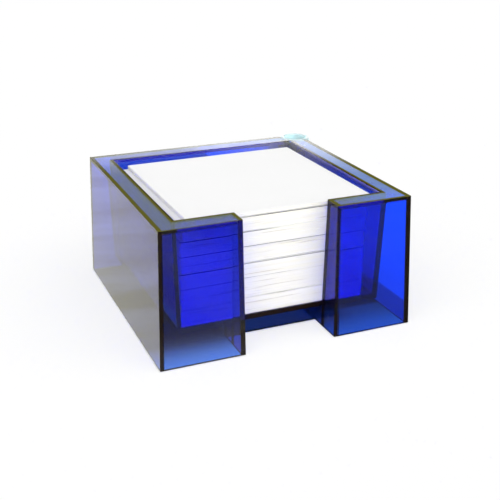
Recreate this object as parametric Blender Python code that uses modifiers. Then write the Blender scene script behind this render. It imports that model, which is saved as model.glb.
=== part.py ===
# Memo holder with a pen stand: a clear blue moulded box for a stack of loose note sheets,
# with a wide finger gap in its front wall and a round pen tube set into its rear right corner.
# Metres, +Z up, front towards -Y. The box stands on z = 0, its bounding box centred on the origin.

import math
import random

import bmesh
import bpy
from mathutils import Matrix

# Note sheets
note_size = 0.090
sheet_thickness = 0.0001
stack_drop = 0.0016             # how far the stack's top lies below the rim
leaf_pitch = 0.0023             # usual height of a run of sheets that lie flush
leaf_shift = 0.00025            # how far such a run strays from its bundle
leaf_turn = math.radians(0.12)
leaf_groove = 0.0005            # depth of the groove between two runs
leaf_groove_height = 0.00018
lift_clear = 0.003              # how far above the rim a bundle is lifted to be taken out
stray_seed = 11

# Box shell
side_room = 0.0033              # floor of the pocket beyond the sheets, left and right
end_room = 0.0028               # the same at front and back
box_height = 0.0635             # table to rim
outer_draft = 0.0020            # how far each outer wall stands out at its foot
inner_draft = 0.0015            # how far each pocket wall leans in at the floor
rim_strip = 0.0102              # flat top between an outer and an inner wall
wall = 0.0020                   # moulded wall
floor_height = 0.0126           # table to the top of the pocket floor
floor_thickness = 0.0023
edge_radius = 0.00025           # moulded corner

# Finger gap, and the apron under it
finger_gap = 0.0452             # between the two front blocks, at the rim
gap_draft = 0.0005              # how far each block end and the apron lean out at the foot
floor_lip = 0.0004              # how far the floor's front edge stands out from the pocket's front
apron_setback = 0.0202          # foot of the front wall to the foot of the apron

# Pen tube
tube_diameter = 0.0158
tube_wall = 0.0020
tube_floor = 0.0020
tube_web = 0.0012               # moulding left at the rim between the pocket's corner and the tube's seat
tube_bearing = math.radians(46)  # from the pocket's corner to the tube's axis, seen from above
tube_lift = 0.0005              # tube's foot above the table
tube_lip_radius = 0.0005
tube_sides = 64
lip_steps = 4

# Fits
contact_gap = 0.0003            # between pieces that touch
overrun = 0.004                 # how far a cutter runs past what it cuts

# Places that follow from the sizes above
box_width = note_size + 2 * (side_room + inner_draft + rim_strip)
box_depth = note_size + 2 * (end_room + inner_draft + rim_strip)
floor_bottom = floor_height - floor_thickness
pocket_depth = box_height - floor_height
tube_radius = tube_diameter / 2
seat_radius = tube_radius + contact_gap
tube_x = box_width / 2 - rim_strip + (tube_web + seat_radius) * math.cos(tube_bearing)
tube_y = box_depth / 2 - rim_strip + (tube_web + seat_radius) * math.sin(tube_bearing)
foot_x = box_width / 2 + outer_draft
foot_y = box_depth / 2 + outer_draft
reach_x = max(tube_x + tube_radius, foot_x)
reach_y = max(tube_y + tube_radius, foot_y)


def clear_scene():
    for item in list(bpy.data.objects):
        bpy.data.objects.remove(item, do_unlink=True)


def new_collection(name):
    collection = bpy.data.collections.new(name)
    bpy.context.scene.collection.children.link(collection)
    return collection


def new_material(name, color, roughness, transmission=0.0, ior=1.5):
    material = bpy.data.materials.new(name)
    material.use_nodes = True
    shader = material.node_tree.nodes["Principled BSDF"]
    shader.inputs["Base Color"].default_value = (*color, 1.0)
    shader.inputs["Roughness"].default_value = roughness
    shader.inputs["Metallic"].default_value = 0.0
    shader.inputs["Transmission Weight"].default_value = transmission
    shader.inputs["IOR"].default_value = ior
    material.diffuse_color = (*color, 1.0)
    return material


def mesh_object(name, bm, collection, holder, material=None):
    mesh = bpy.data.meshes.new(name)
    bm.to_mesh(mesh)
    bm.free()
    item = bpy.data.objects.new(name, mesh)
    item.parent = holder
    collection.objects.link(item)
    if material:
        mesh.materials.append(material)
    return item


def drafted_block(name, section, bottom, top, collection, holder, material=None):
    # A block whose four sides follow section(height) between two heights
    bm = bmesh.new()
    bmesh.ops.create_cube(bm, size=1.0)
    for vert in bm.verts:
        height = top if vert.co.z > 0 else bottom
        left, right, front, back = section(height)
        vert.co = (right if vert.co.x > 0 else left, back if vert.co.y > 0 else front, height)
    return mesh_object(name, bm, collection, holder, material)


def cut(item, cutter):
    modifier = item.modifiers.new("cut_" + cutter.name, "BOOLEAN")
    modifier.operation = "DIFFERENCE"
    modifier.solver = "EXACT"
    modifier.object = cutter
    cutter.hide_render = True
    cutter.display_type = "WIRE"


# Sections of the shell: left, right, front and back at a height
def outer_section(height, inset=0.0):
    lean = outer_draft * (1 - height / box_height)
    half_x = box_width / 2 + lean - inset
    half_y = box_depth / 2 + lean - inset
    return -half_x, half_x, -half_y, half_y


def pocket_section(height, outset=0.0):
    lean = inner_draft * (box_height - height) / pocket_depth
    half_x = box_width / 2 - rim_strip - lean + outset
    half_y = box_depth / 2 - rim_strip - lean + outset
    return -half_x, half_x, -half_y, half_y


def gap_half(height):
    return finger_gap / 2 - gap_draft * (1 - height / box_height)


def apron_face(height):
    return -foot_y + apron_setback + gap_draft * height / floor_bottom


def gap_wall_section(height):
    half = gap_half(height) + wall
    return -half, half, -foot_y - 2 * overrun, apron_face(height) + wall


def corner_section(height):
    # Beyond the tube's centre the tube takes the place of the box's corner
    return tube_x, reach_x + overrun, tube_y, reach_y + overrun


def make_gap_cutter(bottom, top, cutters, holder):
    # Side outline of the finger gap: back into the pocket above the floor, to the floor's lip beside it
    # and to the apron below it. Its two ends follow the blocks' draft.
    front = -foot_y - overrun
    pocket_front = pocket_section(floor_height)[2]
    lip = pocket_front - floor_lip
    outline = (
        (front, bottom),
        (apron_face(bottom), bottom),
        (apron_face(floor_bottom), floor_bottom),
        (lip, floor_bottom),
        (lip, floor_height),
        (pocket_front + overrun, floor_height),
        (pocket_front + overrun, top),
        (front, top),
    )
    bm = bmesh.new()
    face = bm.faces.new([bm.verts.new((-gap_half(z), y, z)) for y, z in outline])
    far_side = bmesh.ops.extrude_face_region(bm, geom=[face])["geom"]
    for vert in far_side:
        if isinstance(vert, bmesh.types.BMVert):
            vert.co.x = gap_half(vert.co.z)
    bmesh.ops.recalc_face_normals(bm, faces=bm.faces)
    return mesh_object("gap", bm, cutters, holder)


def round_cutter(name, radius, bottom, top, cutters, holder):
    # An upright cylinder about the tube's axis
    bm = bmesh.new()
    bmesh.ops.create_cone(
        bm, cap_ends=True, segments=tube_sides, radius1=radius, radius2=radius, depth=top - bottom
    )
    item = mesh_object(name, bm, cutters, holder)
    item.location = (tube_x, tube_y, (top + bottom) / 2)
    return item


def make_shell(collection, cutters, holder, material):
    below = -overrun
    above = box_height + overrun

    def cutter(name, section, bottom, top):
        return drafted_block(name, section, bottom, top, cutters, holder)

    # The space between the outer and inner walls, open below, around the walls of the pocket, the gap
    # and the tube's seat
    hollow = cutter("hollow", lambda height: outer_section(height, wall), below, box_height - wall)
    cut(hollow, cutter("pocket_wall", lambda height: pocket_section(height, wall), floor_bottom, above))
    cut(hollow, cutter("gap_wall", gap_wall_section, 2 * below, above))
    cut(hollow, round_cutter("seat_wall", seat_radius + wall, 2 * below, above, cutters, holder))

    shell = drafted_block("box_shell", outer_section, 0.0, box_height, collection, holder, material)
    cut(shell, cutter("pocket", pocket_section, floor_height, above))
    cut(shell, make_gap_cutter(below, above, cutters, holder))

    bevel = shell.modifiers.new("moulded_edges", "BEVEL")
    bevel.width = edge_radius
    bevel.segments = 2
    bevel.limit_method = "ANGLE"
    bevel.angle_limit = math.radians(40)

    # The tube takes the place of the corner, and its seat goes down through both walls and the floor
    cut(shell, hollow)
    cut(shell, cutter("corner", corner_section, below, above))
    cut(shell, round_cutter("tube_seat", seat_radius, below, above, cutters, holder))


def quarter_round(x, z, start):
    # Clockwise quarter of the lip's radius about (x, z), from the angle start
    points = []
    for step in range(lip_steps + 1):
        angle = start - math.pi / 2 * step / lip_steps
        points.append((x + tube_lip_radius * math.cos(angle), z + tube_lip_radius * math.sin(angle)))
    return points


def make_tube(collection, holder, material):
    # Profile from the axis over the tube's floor, up the bore, over the lip and down the outer side
    bore = tube_radius - tube_wall
    height = box_height - tube_lift
    profile = [(0.0, tube_floor), (bore, tube_floor)]
    profile += quarter_round(bore + tube_lip_radius, height - tube_lip_radius, math.pi)
    profile += quarter_round(tube_radius - tube_lip_radius, height - tube_lip_radius, math.pi / 2)
    profile += quarter_round(tube_radius - tube_lip_radius, tube_lip_radius, 0.0)
    profile.append((0.0, 0.0))

    bm = bmesh.new()
    verts = [bm.verts.new((x, 0.0, z)) for x, z in profile]
    for first, second in zip(verts, verts[1:]):
        bm.edges.new((first, second))
    tube = mesh_object("pen_tube", bm, collection, holder, material)
    tube.location = (tube_x, tube_y, tube_lift)
    screw = tube.modifiers.new("turn", "SCREW")
    screw.axis = "Z"
    screw.steps = tube_sides
    screw.render_steps = tube_sides
    screw.use_merge_vertices = True
    screw.merge_threshold = 0.00001
    screw.use_smooth_shade = True


def free_room(turn, height):
    # How far a turned bundle can lie off the pocket's centre, right and back
    reach = note_size / 2 * (math.cos(turn) + abs(math.sin(turn)) + math.sin(leaf_turn))
    reach += leaf_shift + contact_gap
    _, right, _, back = pocket_section(height)
    return right - reach, back - reach


def outline_matrix(half, lean, shift, height):
    place = Matrix.Translation((*shift, height))
    return place @ Matrix.Rotation(lean, 4, "Z") @ Matrix.Diagonal((half, half, 1.0, 1.0))


def make_bundle(name, sheets, sides, turn, bottom, stray, collection, holder, material):
    # Runs of flush sheets, each a little off the next, with a groove between two runs
    thickness = sheets * sheet_thickness
    runs = max(1, round(thickness / leaf_pitch))
    run_height = (thickness - leaf_groove_height * (runs - 1)) / runs
    sections = []
    height = 0.0
    for run in range(runs):
        shift = (stray.uniform(-leaf_shift, leaf_shift), stray.uniform(-leaf_shift, leaf_shift))
        lean = stray.uniform(-leaf_turn, leaf_turn)
        if run:
            sections.append((note_size / 2 - leaf_groove, 0.0, (0.0, 0.0), height))
            height += leaf_groove_height
            sections.append((note_size / 2 - leaf_groove, 0.0, (0.0, 0.0), height))
        sections.append((note_size / 2, lean, shift, height))
        height += run_height
        sections.append((note_size / 2, lean, shift, height))

    # The first outline is a unit square brought to size; each further one is extruded from the last
    bm = bmesh.new()
    bmesh.ops.create_grid(bm, x_segments=1, y_segments=1, size=1.0)
    bmesh.ops.transform(bm, matrix=outline_matrix(*sections[0]), verts=bm.verts)
    top = list(bm.faces)
    for lower, upper in zip(sections, sections[1:]):
        top = bmesh.ops.extrude_discrete_faces(bm, faces=top)["faces"]
        step = outline_matrix(*upper) @ outline_matrix(*lower).inverted()
        bmesh.ops.transform(bm, matrix=step, verts=top[0].verts)
    bmesh.ops.holes_fill(bm, edges=bm.edges)
    bmesh.ops.recalc_face_normals(bm, faces=bm.faces)

    bundle = mesh_object(name, bm, collection, holder, material)
    room_x, room_y = free_room(turn, bottom)
    bundle.location = (sides[0] * room_x, sides[1] * room_y, bottom)
    bundle.rotation_euler = (0.0, 0.0, turn)
    return bottom + thickness


def make_stack(collection, holder, material):
    # Each bundle: name, its share of the sheets, the shares of the free room that it lies off centre
    # (right, back), turn
    bundles = (
        ("note_bundle_1", 80, (-1.0, -1.0), math.radians(0.0)),
        ("note_bundle_2", 96, (-0.95, -0.9), math.radians(0.2)),
        ("note_bundle_3", 69, (-0.85, -0.95), math.radians(-0.1)),
        ("note_bundle_4", 77, (-0.8, -0.85), math.radians(0.3)),
        ("note_bundle_5", 70, (-0.7, -0.95), math.radians(0.1)),
        ("note_bundle_6", 64, (-0.5, -0.9), math.radians(0.6)),
        ("top_sheets", 16, (0.25, -1.0), math.radians(1.2)),
    )
    all_shares = sum(share for _, share, _, _ in bundles)
    all_sheets = (pocket_depth - stack_drop - len(bundles) * contact_gap) / sheet_thickness
    stray = random.Random(stray_seed)
    level = floor_height
    for name, share, sides, turn in bundles:
        bottom = level + contact_gap
        sheets = round(all_sheets * share / all_shares)
        level = make_bundle(name, sheets, sides, turn, bottom, stray, collection, holder, material)
        travel = box_height + lift_clear - bottom
        print(f"{name}: {sheets} sheets, bottom {bottom:.5f}, top {level:.5f}, lifts {travel:.5f}")


def main():
    clear_scene()
    parts = new_collection("memo_holder_with_pen_stand")
    cutters = new_collection("cutters")
    blue = new_material("clear_blue_plastic", (0.02, 0.05, 0.75), 0.05, transmission=0.9, ior=1.59)
    pale = new_material("clear_pale_blue_plastic", (0.35, 0.75, 0.95), 0.05, transmission=0.9, ior=1.59)
    paper = new_material("white_note_paper", (0.9, 0.9, 0.88), 0.85)

    # The tube stands out behind and to the right, so the box sits off the origin by half of that
    holder = bpy.data.objects.new("memo_holder", None)
    holder.location = ((foot_x - reach_x) / 2, (foot_y - reach_y) / 2, 0.0)
    parts.objects.link(holder)

    make_shell(parts, cutters, holder, blue)
    make_tube(parts, holder, pale)
    make_stack(parts, holder, paper)
    bpy.context.view_layer.update()


main()
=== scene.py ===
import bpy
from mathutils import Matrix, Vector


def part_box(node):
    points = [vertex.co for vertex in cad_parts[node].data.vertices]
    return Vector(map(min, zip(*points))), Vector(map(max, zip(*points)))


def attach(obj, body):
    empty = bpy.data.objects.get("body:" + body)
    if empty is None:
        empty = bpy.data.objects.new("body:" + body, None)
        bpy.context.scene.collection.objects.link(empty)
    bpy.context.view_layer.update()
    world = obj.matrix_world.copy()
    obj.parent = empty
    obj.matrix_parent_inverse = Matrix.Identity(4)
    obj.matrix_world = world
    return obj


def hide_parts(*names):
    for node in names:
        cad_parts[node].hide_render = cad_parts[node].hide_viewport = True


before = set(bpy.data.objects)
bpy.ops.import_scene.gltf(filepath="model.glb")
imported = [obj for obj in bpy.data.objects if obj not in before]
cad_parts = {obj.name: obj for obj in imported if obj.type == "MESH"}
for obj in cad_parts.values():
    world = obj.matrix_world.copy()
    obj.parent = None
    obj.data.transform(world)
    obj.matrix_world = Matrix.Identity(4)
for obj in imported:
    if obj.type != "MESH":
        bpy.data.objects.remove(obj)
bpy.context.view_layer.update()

import math
import random

import bpy

mm = 0.001
white = (1, 1, 1, 1)
print("frame loaded with", len(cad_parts), "nodes")


class Wire:  # a socket that adds, multiplies and compares like a number
    def __init__(self, finish, socket):
        self.finish = finish
        self.socket = socket

    def maths(self, operation, first, second):
        return self.finish.node("ShaderNodeMath", {"operation": operation}, {0: first, 1: second})

    def __add__(self, other):
        return self.maths("ADD", self, other)

    def __sub__(self, other):
        return self.maths("SUBTRACT", self, other)

    def __rsub__(self, other):
        return self.maths("SUBTRACT", other, self)

    def __mul__(self, other):
        return self.maths("MULTIPLY", self, other)

    __radd__ = __add__
    __rmul__ = __mul__

    def over(self, edge):
        return self.maths("GREATER_THAN", self, edge)

    def most(self, *others):
        highest = self
        for other in others:
            highest = self.maths("MAXIMUM", highest, other)
        return highest

    def size(self):
        return self.maths("ABSOLUTE", self, 0.0)


class Finish:  # a node tree, with one way to make each of its nodes
    def __init__(self, name, tree=None):
        if tree is None:
            self.material = bpy.data.materials.new(name)
            self.material.use_nodes = True
            tree = self.material.node_tree
        self.tree = tree
        tree.nodes.clear()

    def node(self, kind, settings=None, values=None, output=0):
        made = self.tree.nodes.new(kind)
        for name, value in (settings or {}).items():
            if name == "stops":
                for stop, (spot, shade) in zip(self.rampStops(made, len(value)), value):
                    stop.position = spot
                    stop.color = (shade, shade, shade, 1)
            else:
                setattr(made, name, value)
        for name, value in (values or {}).items():
            if isinstance(value, Wire):
                self.tree.links.new(value.socket, made.inputs[name])
            else:
                made.inputs[name].default_value = value
        return Wire(self, made.outputs[output]) if made.outputs else made

    def rampStops(self, ramp, count):
        while len(ramp.color_ramp.elements) < count:
            ramp.color_ramp.elements.new(0.5)
        return ramp.color_ramp.elements

    def place(self, stretch):
        spot = self.node("ShaderNodeTexCoord", output="Object")
        return self.node("ShaderNodeMapping", None, {"Vector": spot, "Scale": stretch})

    def noise(self, scale, detail, stretch=(1, 1, 1), roughness=0.5):
        return self.node("ShaderNodeTexNoise", None, {
            "Vector": self.place(stretch), "Scale": scale, "Detail": detail, "Roughness": roughness})

    def ramp(self, factor, stops):
        return self.node("ShaderNodeValToRGB", {"stops": stops}, {"Fac": factor})

    def mix(self, factor, first, second):  # 6, 7 and 2 are the node's sockets for colours
        return self.node("ShaderNodeMix", {"data_type": "RGBA"}, {0: factor, 6: first, 7: second}, output=2)

    def between(self, value, start, end, low=0.0, high=1.0):  # goes softly from low at start to high at end
        return self.node("ShaderNodeMapRange", {"interpolation_type": "SMOOTHSTEP"}, {
            "Value": value, "From Min": start, "From Max": end, "To Min": low, "To Max": high})

    def upTo(self, value, start, end):  # 1 as far as start and 0 from end on
        return 1 - self.between(value, start, end)

    def axes(self, spot="Object"):  # x, y and z of one of the texture coordinates
        place = self.node("ShaderNodeTexCoord", output=spot)
        return [self.node("ShaderNodeSeparateXYZ", None, {0: place}, output=axis) for axis in range(3)]

    def bump(self, height, distance, strength, under=None):
        values = {"Height": height, "Distance": distance, "Strength": strength}
        if under:
            values["Normal"] = under
        return self.node("ShaderNodeBump", None, values)

    def shader(self, kind, values):
        return self.node("ShaderNode" + kind, None, values)

    def blend(self, share, first, second):
        return self.node("ShaderNodeMixShader", None, {0: share, 1: first, 2: second})

    def finishWith(self, surface, volume=None, kind="ShaderNodeOutputMaterial"):
        values = {"Surface": surface}
        if volume:
            values["Volume"] = volume
        self.node(kind, None, values)


# In the dictionaries four numbers that aren't a colour are a soft change: start, end, and the value at each
blueBox = {
    "centre": (-1.115 * mm, -1.231 * mm),       # of the rim
    "rimHalf": (60.0 * mm, 59.5 * mm),
    "pocketHalf": (49.8 * mm, 49.3 * mm),
    "footHalf": (62.0 * mm, 61.5 * mm),
    "gapHalf": 22.6 * mm,
    "rimHeight": 63.5 * mm,
    "draft": 2.0 * mm,
    "wall": 2.0 * mm,
    "soft": 0.25 * mm,
    "clear": {
        "ior": 1.59,
        "absorbColour": (0.25, 0.61, 0.925, 1),
        "absorbDensity": 2000,
        "tints": ((0.86, 0.90, 1.0, 1), (0.94, 0.97, 1.0, 1)),
        "rough": (0.01, 0.03, 0.05),                # bare, and with haze and scratches
        "flow": (14, 2, (1, 1, 0.5)),
        "flowBump": (0.4 * mm, 0.35),
        "skin": (900, 1),
        "skinBump": (0.01 * mm, 0.25),
        "haze": (45, 3),
        "scratches": (260, 4, (1, 1, 0.15)),
        "scratchStops": [(0.55, 0.0), (0.8, 1.0)],
        "pocketTop": (45 * mm, 55 * mm),            # the polished part of the pocket's walls, with scuffs and painted flare
        "coat": (-30 * mm, 40 * mm, 0.3, 1.0),
        "coatIor": 2.0,
        "coatRough": 0.05,
    },
    "paintedShadeAndWear": {  # painted shade where a wall is seen into its depth, at the foot, the ends and the edges; also wear and scuffs, with painted light and flare
        "rough": (0.35, 0.1),                       # bare, and with haze
        "topSkin": (63.2 * mm, 63.4 * mm),
        "footSkin": (0.02 * mm, 0.06 * mm),
        "floorSkin": (12.7 * mm, 13.0 * mm),
        "pocketSkin": (0.5 * mm, 0.7 * mm),
        "gapSkin": (0.6 * mm, 0.8 * mm),
        "frontClear": 1.6 * mm,                     # the painted shade along the rim's edge is narrower by this in front
        "rightDark": (20 * mm, 0.8 * mm),           # and wider to the right of here by this
        "brinkWide": (0.5 * mm, 0.8 * mm),          # a darker painted shade line on three sides of the pocket's edge
        "brinkLeft": (-47 * mm, -45 * mm),
        "brinkFront": (-49 * mm, -47 * mm),
        "brinkRight": 47 * mm,
        "nearSlope": 0.3,                           # the painted edge shade is darkest at the front left corner, the nearest
        "near": (0, 60 * mm, 0.99, 0.35),
        "gapEnds": (10 * mm, 14 * mm, 1.0, 0.35),
        "gapSide": (8 * mm, 14 * mm, 0.15, 0.45),
        # shares of painted shade at the ends, the floor's edge, the foot and under the rim
        "ends": 0.7,
        "floorEdge": 0.9,
        "foot": 0.85,
        "underRim": 0.3,
        # wear on the rim's top, with painted light as seen through the plate
        "wornAndPaintedLight": (-20 * mm, 50 * mm, 0.36, 0.50),
        "wornSpots": (110, 3),
        "wornSpread": (0.6, 0.8),
        # scuffs and painted flare in the pocket, more towards the rear right
        "scuffsAndPaintedFlare": (30 * mm, 100 * mm, 0.08, 0.50),
        "scuffSpots": (60, 3),
        "scuffSpread": (0.7, 0.6),
        "hazeTurn": (20 * mm, 50 * mm),
        "hazeAndPaintedLightShades": ((0.20, 0.27, 0.19, 1), (0.21, 0.37, 0.60, 1)),
        "paintedEdgeShade": (0.115, 0.108, 0.018, 1),
        "paintedBrinkShade": (0.028, 0.018, 0.004, 1),
        "paintedEndShade": (0.012, 0.006, 0.004, 1),
        "scuffAndFlareShade": (0.42, 0.42, 0.28, 1),
    },
}


def clearBluePlastic():
    look = Finish("clearBluePlastic")
    clearBlue, blueShadeAndWear = blueBox["clear"], blueBox["paintedShadeAndWear"]
    flow = look.noise(*clearBlue["flow"])
    scratches = look.ramp(look.noise(*clearBlue["scratches"]), clearBlue["scratchStops"])
    haze = look.noise(*clearBlue["haze"])
    wave = look.bump(flow, *clearBlue["flowBump"])
    skin = look.bump(look.noise(*clearBlue["skin"]), *clearBlue["skinBump"], under=wave)

    # How far a point lies outside the rim and the pocket, negative inside
    x, y, z = look.axes()
    fromMiddleX = (x - blueBox["centre"][0]).size()
    fromMiddleY = (y - blueBox["centre"][1]).size()
    lean = (blueBox["rimHeight"] - z) * (blueBox["draft"] / blueBox["rimHeight"])
    rimX = fromMiddleX - blueBox["rimHalf"][0] - lean
    rimY = fromMiddleY - blueBox["rimHalf"][1] - lean
    pocket = (fromMiddleX - blueBox["pocketHalf"][0]).most(fromMiddleY - blueBox["pocketHalf"][1])

    # Parts of the box
    wall, soft = blueBox["wall"], blueBox["soft"]
    rimHeight, gapHalf = blueBox["rimHeight"], blueBox["gapHalf"]
    pocketFront = -blueBox["pocketHalf"][1]
    front = look.upTo(y, pocketFront, pocketFront + soft)
    outside = look.between(rimY, -soft, -0.5 * soft) * front
    gap = front * look.upTo(fromMiddleX, gapHalf + wall - soft, gapHalf + wall)
    # painted shade on the side faces of the finger gap
    gapSide = front * look.upTo((fromMiddleX - gapHalf).size(), *blueShadeAndWear["gapSkin"])
    onTop = look.between(z, *blueShadeAndWear["topSkin"])
    # painted contact shade where the foot stands on the table
    footFace = look.upTo(z, *blueShadeAndWear["footSkin"])
    # a painted shade band under the rim
    underRim = look.between(z, rimHeight - wall - soft, rimHeight - wall) * outside
    # painted shade along the floor's front edge
    floorEdge = gap * look.upTo(z, *blueShadeAndWear["floorSkin"]) * (1 - outside)
    floorEdge = floorEdge * look.upTo(pocket, *blueShadeAndWear["pocketSkin"])
    inPocket = look.upTo(pocket, 0.0, soft) * look.between(z, *clearBlue["pocketTop"])
    # painted shade bands at the ends of the blocks and of the gap
    atEnds = look.between(rimX, -wall, soft - wall).most(gap * look.between(z, *blueShadeAndWear["gapEnds"]))
    atEnds = atEnds * outside
    rightFrom, deeper = blueShadeAndWear["rightDark"]
    # The rim's edges over the walls are painted darker, with a darker painted line along the pocket's edge
    rim = rimX.most(rimY - front * blueShadeAndWear["frontClear"]) + x.over(rightFrom) * deeper
    overWall = look.between(rim, -wall, soft - wall).most(look.upTo(pocket, wall - soft, wall), gap)
    brinkSides = look.upTo(x, *blueShadeAndWear["brinkLeft"]).most(
        look.upTo(y, *blueShadeAndWear["brinkFront"]), x.over(blueShadeAndWear["brinkRight"]))
    brink = look.upTo(pocket, *blueShadeAndWear["brinkWide"]) * brinkSides

    bare, hazed, scratched = clearBlue["rough"]
    clear = look.shader("BsdfPrincipled", {
        "Base Color": look.mix(flow, *clearBlue["tints"]),
        "Roughness": bare + hazed * haze + scratched * scratches,
        "IOR": clearBlue["ior"],
        "Transmission Weight": 1.0,
        "Coat Weight": inPocket * look.between(x, *clearBlue["coat"]),
        "Coat IOR": clearBlue["coatIor"],
        "Coat Roughness": clearBlue["coatRough"],
        "Normal": skin,
    })

    # Painted shade: seen into a wall's depth the plastic is painted nearly black, and so are the foot, the
    # floor's edge, the block ends and a band under the rim; the rim shows a little wear, with painted light
    # seen through its top, and the pocket shows scuffs, with painted flare
    near = look.between(y + blueShadeAndWear["nearSlope"] * x, *blueShadeAndWear["near"])
    least, spots = blueShadeAndWear["wornSpread"]
    wornAndPaintedLight = look.between(x, *blueShadeAndWear["wornAndPaintedLight"]) * (least + spots * look.noise(*blueShadeAndWear["wornSpots"]))
    # Scuffs on the pocket's walls, with painted flare that grows towards the rear right corner
    least, spots = blueShadeAndWear["scuffSpread"]
    scuffsAndPaintedFlare = inPocket * look.between(x + y, *blueShadeAndWear["scuffsAndPaintedFlare"])
    scuffsAndPaintedFlare = scuffsAndPaintedFlare * (least + spots * look.noise(*blueShadeAndWear["scuffSpots"]))
    # Wear on the rim's top, with painted light seen through the plate, in a shade that turns bluer to the
    # right
    hazeAndPaintedLightShade = look.mix(look.between(x, *blueShadeAndWear["hazeTurn"]), *blueShadeAndWear["hazeAndPaintedLightShades"])
    paintedWallShade = look.mix(brink, blueShadeAndWear["paintedEdgeShade"], blueShadeAndWear["paintedBrinkShade"])
    topShade = look.mix(overWall, hazeAndPaintedLightShade, paintedWallShade)
    sideShade = look.mix(inPocket, blueShadeAndWear["paintedEndShade"], blueShadeAndWear["scuffAndFlareShade"])
    bare, hazed = blueShadeAndWear["rough"]
    paintedShadeAndWear = look.shader("BsdfPrincipled", {
        "Base Color": look.mix(onTop, sideShade, topShade),
        "Roughness": bare + hazed * haze,
        "Specular IOR Level": 0.0,
    })
    share = (onTop * (overWall * near).most(wornAndPaintedLight)).most(
        atEnds * blueShadeAndWear["ends"],
        gapSide * look.between(z, *blueShadeAndWear["gapSide"]) * x.over(0.0),
        floorEdge * blueShadeAndWear["floorEdge"],
        footFace * blueShadeAndWear["foot"],
        underRim * blueShadeAndWear["underRim"],
        scuffsAndPaintedFlare * (1 - onTop))
    inside = look.shader("VolumeAbsorption", {
        "Color": clearBlue["absorbColour"], "Density": clearBlue["absorbDensity"]})
    look.finishWith(look.blend(share, clear, paintedShadeAndWear), inside)
    return look.material


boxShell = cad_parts["box_shell"]
boxShell.material_slots[0].material = clearBluePlastic()
print("blue box dressed")


def selectOnly(*items):
    if bpy.context.object and bpy.context.object.mode != "OBJECT":
        bpy.ops.object.mode_set(mode="OBJECT")
    bpy.ops.object.select_all(action="DESELECT")
    for item in items:
        item.select_set(True)
    bpy.context.view_layer.objects.active = items[0]


def settle(item, name, material):  # name the piece and put its place into its mesh
    selectOnly(item)
    bpy.ops.object.transform_apply(location=True, rotation=True, scale=True)
    item.name = name
    item.data.name = name
    item.data.materials.clear()
    item.data.materials.append(material)


def selectFaces(item, test):  # in edit mode, the faces whose normal passes the test
    bpy.ops.object.mode_set(mode="OBJECT")
    for part in (item.data.vertices, item.data.edges, item.data.polygons):
        part.foreach_set("select", [False] * len(part))
    for face in item.data.polygons:
        face.select = test(face.normal)
    bpy.ops.object.mode_set(mode="EDIT")


penTube = {
    "sides": 128,
    "wall": 2.0 * mm,
    "foot": 2.0 * mm,
    "lip": 0.5 * mm,
    "lipSteps": 4,
    "lipFrom": 60,          # edges with more than this many degrees are rounded
    "smoothUnder": 40,
    "ior": 1.50,
    "absorbColour": (0.35, 0.90, 0.975, 1),
    "absorbDensity": 260,
    "tints": ((0.90, 0.98, 1.0, 1), (0.96, 1.0, 1.0, 1)),
    "rough": (0.02, 0.05),
    "drawn": (60, 3, (1, 1, 0.08)),
    "drawnBump": (0.05 * mm, 0.4),
    "haze": (90, 3),
    "milk": (0.68, 0.81, 0.82, 1),
    "milkRough": (0.3, 0.2),
    "milkShare": 0.65,
    "milkSpread": (0.8, 0.4),
}


def clearPalePlastic():
    look = Finish("clearPalePlastic")
    drawn = look.noise(*penTube["drawn"])  # faint lines along the tube
    haze = look.noise(*penTube["haze"])
    bare, hazed = penTube["rough"]
    surface = look.shader("BsdfPrincipled", {
        "Base Color": look.mix(drawn, *penTube["tints"]),
        "Roughness": bare + hazed * haze,
        "IOR": penTube["ior"],
        "Transmission Weight": 1.0,
        "Normal": look.bump(drawn, *penTube["drawnBump"]),
    })
    bare, hazed = penTube["milkRough"]
    milky = look.shader("BsdfPrincipled", {
        "Base Color": penTube["milk"],
        "Roughness": bare + hazed * haze,
    })
    inside = look.shader("VolumeAbsorption", {
        "Color": penTube["absorbColour"], "Density": penTube["absorbDensity"]})
    least, lines = penTube["milkSpread"]
    share = penTube["milkShare"] * (least + lines * drawn)
    look.finishWith(look.blend(share, surface, milky), inside)
    return look.material


def makePenTube():
    low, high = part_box("pen_tube")
    centre = (low + high) / 2
    radius = (high.x - low.x) / 2
    height = high.z - low.z
    bpy.ops.object.select_all(action="DESELECT")
    bpy.ops.mesh.primitive_cylinder_add(
        vertices=penTube["sides"], radius=radius, depth=height, location=centre)
    tube = bpy.context.object
    bpy.ops.object.mode_set(mode="EDIT")
    bpy.ops.mesh.select_mode(type="FACE")
    selectFaces(tube, lambda normal: normal.z > 0.9)  # the top alone
    bpy.ops.mesh.inset(thickness=penTube["wall"])
    bpy.ops.mesh.extrude_region_move(
        TRANSFORM_OT_translate={"value": (0, 0, penTube["foot"] - height)})
    bpy.ops.object.mode_set(mode="OBJECT")
    selectOnly(tube)
    rounded = tube.modifiers.new("rounded", "BEVEL")
    rounded.width = penTube["lip"]
    rounded.segments = penTube["lipSteps"]
    rounded.limit_method = "ANGLE"
    rounded.angle_limit = math.radians(penTube["lipFrom"])
    bpy.ops.object.modifier_apply(modifier="rounded")
    bpy.ops.object.shade_smooth_by_angle(angle=math.radians(penTube["smoothUnder"]))
    settle(tube, "clear_pen_tube", clearPalePlastic())
    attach(tube, "box")
    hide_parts("pen_tube")


makePenTube()
print("pen tube made")


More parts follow.
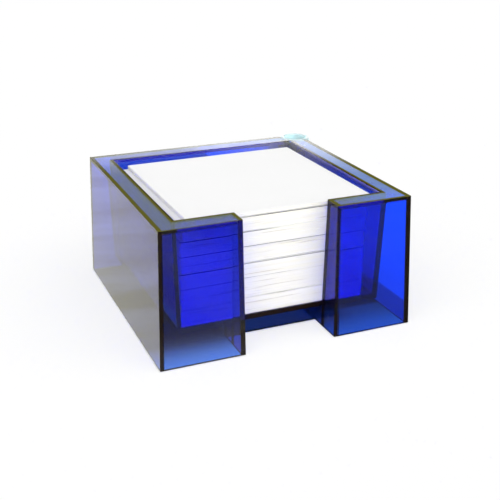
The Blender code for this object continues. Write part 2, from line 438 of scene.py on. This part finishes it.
# Each bundle: its number, its sheets, its turn in degrees, and how far the seam under it stands open at
# seven places from left to right along the front, 0 shut and 1 open; the finger gap shows the middle three
noteSheets = {
    "size": 90 * mm,
    "thick": 0.1 * mm,
    "squares": 6,
    "run": 23,              # sheets that lie flush, on average
    "runSpread": (0.4, 1.5),
    "runStray": 0.22 * mm,
    "sheetStray": 0.045 * mm,
    "turnStray": 0.10,
    "sheetTurn": 0.02,
    "seamOpen": 0.30 * mm,
    "seamShut": 0.03 * mm,
    "cageRoom": 2 * mm,
    "cageRows": 3,
    "seed": 4,
    "bundles": [
        (1, 80, 0.0, (0.0, 0.0, 0.0, 0.0, 0.0, 0.0, 0.0)),
        (2, 96, 0.2, (0.2, 0.3, 0.1, 0.5, 0.2, 0.1, 0.0)),
        (3, 69, -0.1, (0.4, 0.6, 0.2, 0.4, 0.1, 0.2, 0.1)),
        (4, 77, 0.3, (0.9, 0.7, 0.6, 0.7, 0.75, 0.8, 0.5)),
        (5, 70, 0.1, (1.0, 1.0, 0.85, 1.0, 0.9, 0.95, 1.0)),
        (6, 64, 0.4, (0.9, 0.9, 0.8, 0.1, 0.0, 0.0, 0.2)),
    ],
    "top": (16, 0.6, (0.0, 0.4, 1.0, 1.0, 1.0, 1.0, 1.0)),  # the same for the top sheets
    "paper": {
        "fibres": (2600, 4),
        "fibreBump": (0.02 * mm, 0.3),
        "rough": (0.82, 0.1),
        "specular": 0.3,
        "clouds": (35, 2),
        "whites": ((0.93, 0.93, 0.925, 1), (0.955, 0.955, 0.955, 1)),
        "edges": (1.0, 3, (25, 25, 5200), 0.7),     # painted shade, one line or so for each cut sheet
        "edgeStops": [(0.30, 1.0), (0.52, 0.0)],
        "bands": (1.0, 2, (12, 12, 900)),
        "streaks": (1.0, 1, (30, 30, 1500)),
        "streakStops": [(0.66, 0.0), (0.73, 1.0)],
        "edgeDarkening": (0.22, 0.10, 0.8),                 # darkening from the painted shade lines, the bands and the streaks
        "warmShade": (0.955, 0.93, 0.80, 1),
        "edgeDarkShade": (0.62, 0.58, 0.50, 1),
        "seamShadow": (0.36 * mm, 0.1 * mm),        # its height, and how softly it ends
        "seamFront": (-42 * mm, -40 * mm),
        "seamShade": (0.05, 0.045, 0.035, 1),
    },
}


def notePaper(name, level, seam):  # the seam above the bundle and its height
    look = Finish(name)
    paper = noteSheets["paper"]
    fibres = look.noise(*paper["fibres"])
    clouds = look.noise(*paper["clouds"])
    bands = look.noise(*paper["bands"])
    lines = look.ramp(look.noise(*paper["edges"]), paper["edgeStops"])
    streaks = look.ramp(look.noise(*paper["streaks"]), paper["streakStops"])
    normal = look.node("ShaderNodeNewGeometry", output="Normal")
    upright = 1 - look.node("ShaderNodeSeparateXYZ", None, {0: normal}, output=2).size()  # 1 on the cut edges
    lineShare, bandShare, streakShare = paper["edgeDarkening"]
    # The cut edges are darker: painted shade lines between the sheets, with darker bands and streaks
    edgeDarkening = upright * (lineShare * lines + bandShare * bands + streakShare * streaks)
    warm = look.mix(upright * bands, look.mix(clouds, *paper["whites"]), paper["warmShade"])
    darkenedPaper = look.mix(edgeDarkening, warm, paper["edgeDarkShade"])

    # Along the front the highest sheets lie in the shadow of the seam above them where it stands open
    x, y, z = look.axes()
    across = look.between(x, -noteSheets["size"] / 2, noteSheets["size"] / 2)
    gaping = look.ramp(across, [(place / (len(seam) - 1), share) for place, share in enumerate(seam)])
    height, fade = paper["seamShadow"]
    shadow = gaping * look.between(z, level - height - fade, level - height)
    shadow = shadow * look.upTo(y, *paper["seamFront"]) * upright
    bare, rougher = paper["rough"]
    look.finishWith(look.shader("BsdfPrincipled", {
        "Base Color": look.mix(shadow, darkenedPaper, paper["seamShade"]),
        "Roughness": bare + rougher * fibres,
        "Specular IOR Level": paper["specular"],
        "Normal": look.bump(fibres, *paper["fibreBump"]),
    }))
    return look.material


def makeSheet():  # one loose sheet, to be copied
    bpy.ops.object.select_all(action="DESELECT")
    bpy.ops.mesh.primitive_grid_add(
        x_subdivisions=noteSheets["squares"], y_subdivisions=noteSheets["squares"], size=noteSheets["size"])
    sheet = bpy.context.object
    solid = sheet.modifiers.new("solid", "SOLIDIFY")
    solid.thickness = noteSheets["thick"]
    solid.offset = 1.0
    bpy.ops.object.modifier_apply(modifier="solid")
    return sheet


def makeBundle(sheet, node, count, turn, seam, stray):
    low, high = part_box(node)
    centre = (low + high) / 2
    pitch = (high.z - low.z - noteSheets["thick"]) / (count - 1)
    copies = []
    left = 0
    for number in range(count):
        if left == 0:  # a new run lies a little off the last one
            left = round(noteSheets["run"] * stray.uniform(*noteSheets["runSpread"]))
            runX, runY = (stray.uniform(-1, 1) * noteSheets["runStray"] for _ in range(2))
            runTurn = turn + stray.uniform(-1, 1) * noteSheets["turnStray"]
        left -= 1
        copy = sheet.copy()
        copy.data = sheet.data.copy()
        bpy.context.collection.objects.link(copy)
        copy.location = (
            centre.x + runX + stray.uniform(-1, 1) * noteSheets["sheetStray"],
            centre.y + runY + stray.uniform(-1, 1) * noteSheets["sheetStray"],
            low.z + pitch * number,
        )
        copy.rotation_euler.z = math.radians(runTurn + stray.uniform(-1, 1) * noteSheets["sheetTurn"])
        copies.append(copy)
    selectOnly(*copies)
    bpy.ops.object.join()
    bundle = bpy.context.object
    bpy.ops.object.transform_apply(location=True, rotation=True, scale=True)

    # A lattice lets the lowest sheets sag until the seam under them shuts
    bpy.ops.object.select_all(action="DESELECT")
    bpy.ops.object.add(type="LATTICE", location=centre)
    cage = bpy.context.object
    columns, rows, room = len(seam), noteSheets["cageRows"], noteSheets["cageRoom"]
    cage.data.points_u, cage.data.points_v, cage.data.points_w = columns, rows, 2
    cage.scale = (high.x - low.x + room, high.y - low.y + room, high.z - low.z)
    fall = noteSheets["seamOpen"] - noteSheets["seamShut"]
    for row in range(rows):
        for column in range(columns):
            opening = seam[column] if row < rows - 1 else seam[columns - 1 - column]  # turned round behind
            point = cage.data.points[row * columns + column]  # lower layer
            point.co_deform.z -= fall * (1 - opening) / cage.scale.z
    bend = bundle.modifiers.new("bend", "LATTICE")
    bend.object = cage
    selectOnly(bundle)
    bpy.ops.object.modifier_apply(modifier="bend")
    bpy.data.objects.remove(cage)
    return bundle


def makeNotes():
    sheet = makeSheet()
    stray = random.Random(noteSheets["seed"])
    rows = [(f"note_bundle_{number}", f"bundle_{number}", f"note_sheets_{number}", *rest)
            for number, *rest in noteSheets["bundles"]]
    rows.append(("top_sheets", "sheets", "note_sheets_top", *noteSheets["top"]))
    seams = [row[-1] for row in rows]
    above = seams[1:] + [[0.0] * len(seams[0])]
    for (node, body, name, count, turn, seam), seamAbove in zip(rows, above):
        bundle = makeBundle(sheet, node, count, turn, seam, stray)
        settle(bundle, name, notePaper(name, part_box(node)[1].z, seamAbove))
        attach(bundle, body)
        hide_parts(node)
        print(name, "has", count, "sheets")
    bpy.data.objects.remove(sheet)


makeNotes()


# How a ray comes: straight, through plastic, mirrored, or as light, direct or through plastic
def lightPath(look):
    def isRay(name):
        return look.node("ShaderNodeLightPath", output=name)

    through = isRay("Is Transmission Ray")
    lights = isRay("Diffuse Depth").over(0.5)
    return {
        "straight": isRay("Is Camera Ray"),
        "through": through * (1 - lights),
        "mirrored": isRay("Is Glossy Ray") * (1 - through),
        "lightIn": through * lights,
        "light": isRay("Is Diffuse Ray"),
    }


tableTop = {
    "size": 6.0,
    "drop": 0.2 * mm,
    "grain": (8, 2),
    "whites": ((0.90, 0.90, 0.90, 1), (0.93, 0.93, 0.925, 1)),
    "rough": 0.6,
    "footStep": (-0.3 * mm, 0.3 * mm),
    "gapWide": (21.8 * mm, 22.4 * mm),
    "gapDeep": (-43.0 * mm, -42.4 * mm),
    "backdropAndPaintedLight": (7 * mm, 140 * mm, 0.70, 0.98),    # share without shadow, from the box outwards
    "footLine": (0.1 * mm, 0.4 * mm),
    "paintedLightMost": 0.97,
    "mirrored": {  # painted reflection: its brightness in the mirror of the plastic
        "beforeLeft": (-108 * mm, -64 * mm, 0.38, 1.4),
        "beforeRight": 0.26,
        "leftToRight": (-20 * mm, 20 * mm),
        "beforeEnds": (-64 * mm, -60 * mm),
        "beforeGap": 0.12,
        "gapStarts": (-68 * mm, -62 * mm),
        "besideLeft": (-64 * mm, -58 * mm, 1.1, 0.0),
        "rightStarts": (60 * mm, 75 * mm),
        "besideRight": (-80 * mm, 160 * mm, 0.26, 1.1),
        "behind": (50 * mm, 80 * mm, 0.0, 1.1),
        "paintedReflectionBlotches": (30, 2, (0.4, 1.2, 1)),
        "blotchStops": [(0.38, 0.0), (0.62, 1.0)],
        "paintedReflectionTint": (0.88, 0.86, 0.66, 1),
    },
    "seen": {  # painted light and shade: its brightness through the plastic
        # painted light, brighter to the right
        "around": (-60 * mm, 120 * mm, 0.8, 3.4),
        "behindStarts": (80 * mm, 150 * mm),
        "behind": (-30 * mm, 10 * mm, 0.6, 3.5),
        "shadowEnds": (73 * mm, 74.5 * mm),
        "shadow": 0.40,                             # a painted shadow beside the right wall
        # a painted shadow left of the box
        "besideLeft": (-100 * mm, -64 * mm, 1.0, 0.15),
        "leftEnds": -62 * mm,
        "cornerX": (118 * mm, 135 * mm),
        "cornerY": (95 * mm, 125 * mm),
        "corner": 0.28,                             # painted shade behind the rear right corner
        "frontToDeep": (-62 * mm, -38 * mm),        # painted shade under the box, from the front foot inwards
        "underFront": (-20 * mm, 30 * mm, 0.95, 0.70),
        "underDeep": (20 * mm, 50 * mm, 0.02, 0.22),
        "underRear": (-38 * mm, -34 * mm, 1.0, 0.05),
        "underGap": 0.08,
        "inGap": 1.0,
        # painted blue light under the box, as if it came through the plastic, towards the right
        "tintTurn": (-20 * mm, 30 * mm),
        "paintedBlueLight": (0.40, 0.62, 1.0, 1),
    },
}


# Painted reflection: how bright the table glows in the mirror of the plastic, place by place
def mirroredStrength(look, x, y, middle):
    zones = tableTop["mirrored"]
    beforeLeft = look.between(y, *zones["beforeLeft"])
    before = look.between(x, *zones["leftToRight"], beforeLeft, zones["beforeRight"])
    before = before * look.upTo(y, *zones["beforeEnds"])
    before = before * (1 - middle * look.between(y, *zones["gapStarts"])) + middle * zones["beforeGap"]
    rightSide = look.between(x, *zones["rightStarts"])
    return before.most(
        look.between(x, *zones["besideLeft"]),
        rightSide * look.between(y, *zones["besideRight"]),
        (1 - rightSide) * look.between(y, *zones["behind"]))


# Painted light and shade: how bright the table glows through the plastic, place by place
def seenStrength(look, x, y, middle, openGap, under):
    zones = tableTop["seen"]
    inside = look.between(
        y, *zones["frontToDeep"],
        look.between(x, *zones["underFront"]), look.between(x, *zones["underDeep"]))
    inside = inside * (1 - middle) * look.between(y, *zones["underRear"]) + middle * zones["underGap"]
    inside = inside * (1 - openGap) + openGap * zones["inGap"]
    around = look.between(x, *zones["around"]).most(
        look.between(y, *zones["behindStarts"]) * look.between(x, *zones["behind"]))
    around = around * (1 - look.upTo(x, *zones["shadowEnds"]) * x.over(0.0) * (1 - zones["shadow"]))
    around = around * look.between(x, *zones["besideLeft"]).most(x.over(zones["leftEnds"]))
    corner = look.between(x, *zones["cornerX"]) * look.between(y, *zones["cornerY"])
    around = around * (1 - corner * (1 - zones["corner"]))
    return around * (1 - under) + under * inside


def makeTable():
    bpy.ops.object.select_all(action="DESELECT")
    bpy.ops.mesh.primitive_plane_add(size=tableTop["size"], location=(0, 0, -tableTop["drop"]))
    table = bpy.context.object
    look = Finish("paleTable")
    ray = lightPath(look)
    grain = look.noise(*tableTop["grain"])
    matt = look.shader("BsdfDiffuse", {
        "Color": look.mix(grain, *tableTop["whites"]), "Roughness": tableTop["rough"]})

    x, y, _ = look.axes()
    fromMiddleX = (x - blueBox["centre"][0]).size()
    fromMiddleY = (y - blueBox["centre"][1]).size()
    away = (fromMiddleX - blueBox["footHalf"][0]).most(fromMiddleY - blueBox["footHalf"][1])  # from the foot
    under = look.upTo(away, *tableTop["footStep"])
    middle = look.upTo(fromMiddleX, *tableTop["gapWide"])
    openGap = middle * look.upTo(y, *tableTop["gapDeep"])

    zones = tableTop["mirrored"]
    paintedReflectionBlotches = look.ramp(look.noise(*zones["paintedReflectionBlotches"]), zones["blotchStops"]) * ray["mirrored"]
    # Under the box, towards the right, the light is painted blue
    paintedBlueLightShare = under * ray["through"] * look.between(x, *tableTop["seen"]["tintTurn"])
    seen = seenStrength(look, x, y, middle, openGap, under)
    mirrored = mirroredStrength(look, x, y, middle)
    # The table glows: evenly white to the camera, and with painted light, shade and reflection through and in
    # the plastic
    backdropAndPaintedLight = look.shader("Emission", {
        "Color": look.mix(
            paintedReflectionBlotches, look.mix(paintedBlueLightShare, white, tableTop["seen"]["paintedBlueLight"]), zones["paintedReflectionTint"]),
        "Strength": ray["straight"] + ray["through"] * seen + ray["mirrored"] * mirrored,
    })
    shadowless = look.between(away, *tableTop["backdropAndPaintedLight"])
    shadowless = shadowless * look.between(away, *tableTop["footLine"]).most(openGap)
    share = (ray["straight"] * shadowless
             + ray["through"] * shadowless.most(under * tableTop["paintedLightMost"])
             + ray["mirrored"] * tableTop["paintedLightMost"])
    look.finishWith(look.blend(share, matt, backdropAndPaintedLight))
    settle(table, "table", look.material)


# By the direction that a ray goes: x to the right, y to the rear and z up, each from -1 to 1
sky = {
    "through": (-0.3, 0.6, 0.8, 3.4),
    "mirroredLow": (0.25, 0.37, 2.7, 4.3),
    "mirroredHigh": 0.62,
    "horizon": (0.255, 0.295),
    "mirroredRear": (-0.4, 0.2, 0.35, 1.0),
    "lightIn": [                                # light on the paper through the plastic
        ("y", (-0.6, 0.2, 75.0, 3.0)),
        ("z", (0.3, 0.8, 1.0, 0.05)),
        ("x", (-0.7, 0.1, 0.42, 1.0)),
        ("x", (0.3, 0.7, 1.0, 0.25)),
    ],
    "softLight": [
        ("y", (-0.6, 0.6, 1.72, 0.38)),
        ("x", (-1.0, -0.3, 1.45, 1.0)),
        ("z", (0.5, 1.0, 1.0, 0.82)),
    ],
}


def makeSky():
    world = bpy.data.worlds.new("softStudio")
    bpy.context.scene.world = world
    world.use_nodes = True
    look = Finish("softStudio", world.node_tree)
    ray = lightPath(look)
    way = dict(zip("xyz", look.axes("Generated")))
    low = look.between(way["x"], *sky["mirroredLow"])
    mirrored = look.between(way["z"], *sky["horizon"], low, sky["mirroredHigh"])
    strength = (ray["straight"] + ray["through"] * look.between(way["x"], *sky["through"])
                + ray["mirrored"] * mirrored * look.between(way["y"], *sky["mirroredRear"]))
    for light, name in (("light", "softLight"), ("lightIn", "lightIn")):
        part = ray[light]
        for axis, change in sky[name]:
            part = part * look.between(way[axis], *change)
        strength = strength + part
    look.finishWith(
        look.shader("Background", {"Color": white, "Strength": strength}), kind="ShaderNodeOutputWorld")


photoCamera = {
    "place": (-0.15697, -0.38675, 0.19114),
    "turn": (68.12, -0.01, -22.71),
    "lens": 64.06,
    "sensor": 36,
    "nearest": 0.01,
}


def makeCamera():
    bpy.ops.object.camera_add(
        location=photoCamera["place"], rotation=[math.radians(turn) for turn in photoCamera["turn"]])
    camera = bpy.context.object
    camera.data.lens = photoCamera["lens"]
    camera.data.sensor_width = photoCamera["sensor"]
    camera.data.clip_start = photoCamera["nearest"]
    bpy.context.scene.camera = camera


makeTable()
makeSky()
makeCamera()
bpy.context.scene.view_settings.view_transform = "Standard"
print("stage set")
